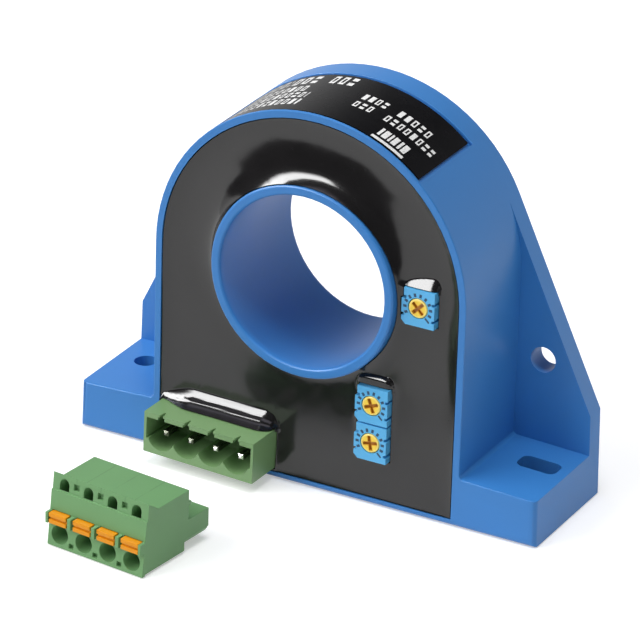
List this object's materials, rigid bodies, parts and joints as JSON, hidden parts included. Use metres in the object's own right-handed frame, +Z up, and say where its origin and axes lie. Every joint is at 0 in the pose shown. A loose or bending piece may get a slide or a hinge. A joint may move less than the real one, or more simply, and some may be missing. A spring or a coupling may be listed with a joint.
{
  "type": "hall effect current sensor",
  "caption": "Arch-shaped blue current sensor with a round cable bore, slotted feet, resin face, green pin header, blue trimmers and its green spring plug taken off.",
  "frame": {"origin": "middle of the flat base: centred between the feet's ends, half way through the body's depth, on the surface that it stands on", "axes": "+X along the feet, from the header's side to the slotted foot; +Y along the cable bore, from the resin face to the flat back; +Z up"},
  "size_m": [0.09, 0.0695, 0.07],
  "materials": {
    "housing_blue": "satin moulded thermoplastic",
    "potting_black": "glossy cast resin",
    "label_black": "smooth film",
    "connector_green": "satin moulded thermoplastic",
    "tinned_brass": "bright tin plate",
    "trimmer_blue": "satin moulded thermoplastic",
    "rotor_yellow": "satin moulded thermoplastic",
    "lever_orange": "satin moulded thermoplastic",
    "spring_steel": "bright strip",
    "core_grey": "dull wound strip",
    "board_green": "solder mask on glass fibre",
    "moulded_black": "moulded epoxy",
    "capacitor_tan": "fired ceramic"
  },
  "bodies": {
    "sensor_and_plug": {"housing": "housing_blue", "potting_resin": "potting_black", "rating_label": "label_black", "magnetic_core": "core_grey", "hall_element": "moulded_black", "hall_lead_1": "tinned_brass", "hall_lead_2": "tinned_brass", "hall_lead_3": "tinned_brass", "hall_lead_4": "tinned_brass", "circuit_board": "board_green", "amplifier_ic": "moulded_black", "regulator_ic": "moulded_black", "filter_capacitor_1": "capacitor_tan", "filter_capacitor_2": "capacitor_tan", "protection_diode": "moulded_black", "header_housing": "connector_green", "header_pin_1": "tinned_brass", "header_pin_2": "tinned_brass", "header_pin_3": "tinned_brass", "header_pin_4": "tinned_brass", "trimmer_case_1": "trimmer_blue", "trimmer_case_2": "trimmer_blue", "trimmer_case_3": "trimmer_blue", "trimmer_pin_1a": "tinned_brass", "trimmer_pin_1b": "tinned_brass", "trimmer_pin_1c": "tinned_brass", "trimmer_pin_2a": "tinned_brass", "trimmer_pin_2b": "tinned_brass", "trimmer_pin_2c": "tinned_brass", "trimmer_pin_3a": "tinned_brass", "trimmer_pin_3b": "tinned_brass", "trimmer_pin_3c": "tinned_brass", "plug_housing": "connector_green", "plug_contact_1": "tinned_brass", "plug_contact_2": "tinned_brass", "plug_contact_3": "tinned_brass", "plug_contact_4": "tinned_brass", "plug_spring_1": "spring_steel", "plug_spring_2": "spring_steel", "plug_spring_3": "spring_steel", "plug_spring_4": "spring_steel"},
    "single_trimmer_rotor": {"trimmer_rotor_1": "rotor_yellow"},
    "upper_trimmer_rotor": {"trimmer_rotor_2": "rotor_yellow"},
    "lower_trimmer_rotor": {"trimmer_rotor_3": "rotor_yellow"},
    "release_lever_1": {"plug_lever_1": "lever_orange"},
    "release_lever_2": {"plug_lever_2": "lever_orange"},
    "release_lever_3": {"plug_lever_3": "lever_orange"},
    "release_lever_4": {"plug_lever_4": "lever_orange"}
  },
  "joints": [
    {"name": "single_trimmer_turn", "type": "hinge", "parent": "sensor_and_plug", "child": "single_trimmer_rotor", "pos_m": [0.02163, -0.0136, 0.03975], "axis": [0, -1, 0], "range_deg": [-175, 85]},
    {"name": "upper_trimmer_turn", "type": "hinge", "parent": "sensor_and_plug", "child": "upper_trimmer_rotor", "pos_m": [0.01343, -0.0136, 0.01935], "axis": [0, -1, 0], "range_deg": [-150, 110]},
    {"name": "lower_trimmer_turn", "type": "hinge", "parent": "sensor_and_plug", "child": "lower_trimmer_rotor", "pos_m": [0.01343, -0.0136, 0.01225], "axis": [0, -1, 0], "range_deg": [-140, 120]},
    {"name": "lever_1_press", "type": "slide", "parent": "sensor_and_plug", "child": "release_lever_1", "axis": [0.1175, 0.9931, 0], "range_m": [0, 0.0012], "stiffness_N_per_m": 400, "springref_m": -0.0005},
    {"name": "lever_2_press", "type": "slide", "parent": "sensor_and_plug", "child": "release_lever_2", "axis": [0.1175, 0.9931, 0], "range_m": [0, 0.0012], "stiffness_N_per_m": 400, "springref_m": -0.0005},
    {"name": "lever_3_press", "type": "slide", "parent": "sensor_and_plug", "child": "release_lever_3", "axis": [0.1175, 0.9931, 0], "range_m": [0, 0.0012], "stiffness_N_per_m": 400, "springref_m": -0.0005},
    {"name": "lever_4_press", "type": "slide", "parent": "sensor_and_plug", "child": "release_lever_4", "axis": [0.1175, 0.9931, 0], "range_m": [0, 0.0012], "stiffness_N_per_m": 400, "springref_m": -0.0005}
  ]
}
